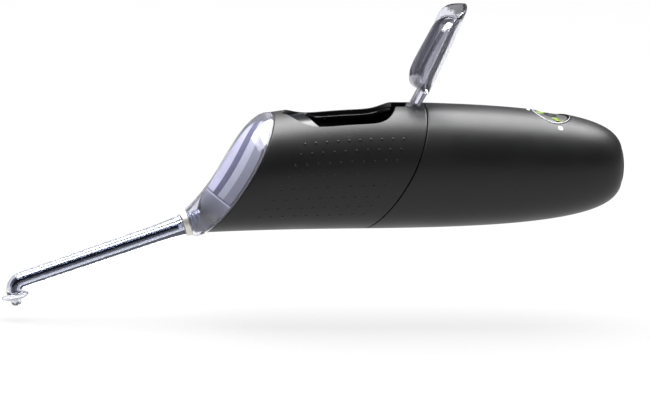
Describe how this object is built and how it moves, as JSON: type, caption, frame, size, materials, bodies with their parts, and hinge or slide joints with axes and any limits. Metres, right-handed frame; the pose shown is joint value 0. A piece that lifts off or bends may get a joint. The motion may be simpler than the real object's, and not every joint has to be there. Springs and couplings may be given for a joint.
{
  "type": "water flosser",
  "caption": "Cordless handheld water flosser: rounded black handle, slanted clear nozzle shroud with a long jet stem and round tip, flip-up fill lid.",
  "frame": {"origin": "centre of the charging socket's flat floor in the base cap", "axes": "+X along the handle axis out of its base, +Z to the lid and power button side, -X to the nozzle"},
  "size_m": [0.2335, 0.044, 0.1156],
  "materials": {
    "handle_black": "satin black moulding with a soft sheen",
    "tank_black": "smooth deep black",
    "smoke_clear": "smoky grey clear, polished",
    "nozzle_clear": "clear with a faint violet tint, polished",
    "ring_metal": "warm silver, brushed round the ring",
    "grey_plastic": "satin grey",
    "button_grey": "satin dark grey",
    "lit_green": "lit lime-green light guide",
    "seal_rubber": "soft black seal rubber",
    "frame_white": "moulded white frame plastic",
    "steel": "plain bright steel",
    "gear_plastic": "natural acetal",
    "brass": "turned brass",
    "battery_wrap": "shrink sleeve",
    "coil_copper": "enamelled copper winding",
    "ferrite": "dull black",
    "board_green": "green solder mask"
  },
  "bodies": {
    "handle": {"rear_handle_shell": "handle_black", "front_housing": "handle_black", "base_cap": "handle_black", "base_seal_ring": "seal_rubber", "charging_coil": "coil_copper", "coil_ferrite": "ferrite", "front_bulkhead": "grey_plastic", "reservoir_tank": "tank_black", "lid_hinge_pin": "steel", "power_button_bezel": "tank_black", "trigger_switch": "ferrite", "idler_axle": "steel", "pump_cylinder": "frame_white", "outlet_valve": "seal_rubber", "inlet_valve": "seal_rubber", "pump_spring": "steel", "delivery_tube": "seal_rubber", "outlet_spigot": "grey_plastic", "chassis": "frame_white", "motor_case": "steel", "battery_cell": "battery_wrap", "battery_tab_rear": "steel", "battery_tab_front": "steel", "circuit_board": "board_green", "power_switch": "ferrite", "board_screw_1": "steel", "board_screw_2": "steel", "board_screw_3": "steel", "board_screw_4": "steel"},
    "lid": {"reservoir_lid": "smoke_clear", "lid_tub": "smoke_clear", "lid_gasket": "seal_rubber"},
    "power_button": {"power_button": "button_grey", "mode_light_guide": "lit_green", "charge_light_guide": "lit_green"},
    "trigger": {"trigger_button": "handle_black"},
    "nozzle": {"nozzle_stem": "nozzle_clear", "nozzle_inner_tube": "nozzle_clear", "guidance_tip": "nozzle_clear", "jet_nib": "nozzle_clear", "nozzle_shroud": "nozzle_clear", "nozzle_ring": "ring_metal", "nozzle_socket": "grey_plastic"},
    "drive_gear": {"drive_gear": "gear_plastic"},
    "idler_gear": {"idler_gear": "gear_plastic"},
    "motor_pinion": {"motor_pinion": "brass"},
    "pump_piston": {"pump_piston": "gear_plastic", "piston_seal": "seal_rubber"}
  },
  "joints": [
    {"name": "lid_hinge", "type": "hinge", "parent": "handle", "child": "lid", "pos_m": [-0.0734, 0, 0.0214], "axis": [0, 1, 0], "range_deg": [-117, 0]},
    {"name": "power_button_press", "type": "slide", "parent": "handle", "child": "power_button", "axis": [-0.1426, 0, -0.9898], "range_m": [0, 0.0005], "stiffness_N_per_m": 1500},
    {"name": "trigger_press", "type": "slide", "parent": "handle", "child": "trigger", "axis": [0, 0, 1], "range_m": [0, 0.001], "stiffness_N_per_m": 800},
    {"name": "nozzle_pull", "type": "slide", "parent": "handle", "child": "nozzle", "axis": [-0.9444, 0, -0.3289], "range_m": [0, 0.03]},
    {"name": "drive_gear_turn", "type": "hinge", "parent": "handle", "child": "drive_gear", "pos_m": [-0.0823, 0, -0.003], "axis": [0, -1, 0], "range_deg": [0, 120], "stiffness_Nm_per_rad": 0.004},
    {"name": "idler_gear_turn", "type": "hinge", "parent": "handle", "child": "idler_gear", "pos_m": [-0.0699, -0.0145, -0.003], "axis": [0, -1, 0], "range_deg": [-295.3, 0.5]},
    {"name": "motor_pinion_turn", "type": "hinge", "parent": "handle", "child": "motor_pinion", "pos_m": [-0.0575, -0.0133, -0.003], "axis": [0, -1, 0], "range_deg": [-1, 721]},
    {"name": "piston_slide", "type": "slide", "parent": "handle", "child": "pump_piston", "axis": [1, 0, 0], "range_m": [-0.0001, 0.0102], "deforming": ["pump_spring"]}
  ],
  "couplings": [
    {"joint": "idler_gear_turn", "follows": "drive_gear_turn", "ratio": -2.4444},
    {"joint": "motor_pinion_turn", "follows": "drive_gear_turn", "ratio": 5.9753},
    {"joint": "piston_slide", "follows": "drive_gear_turn", "m_per_rad": 0.0048}
  ]
}
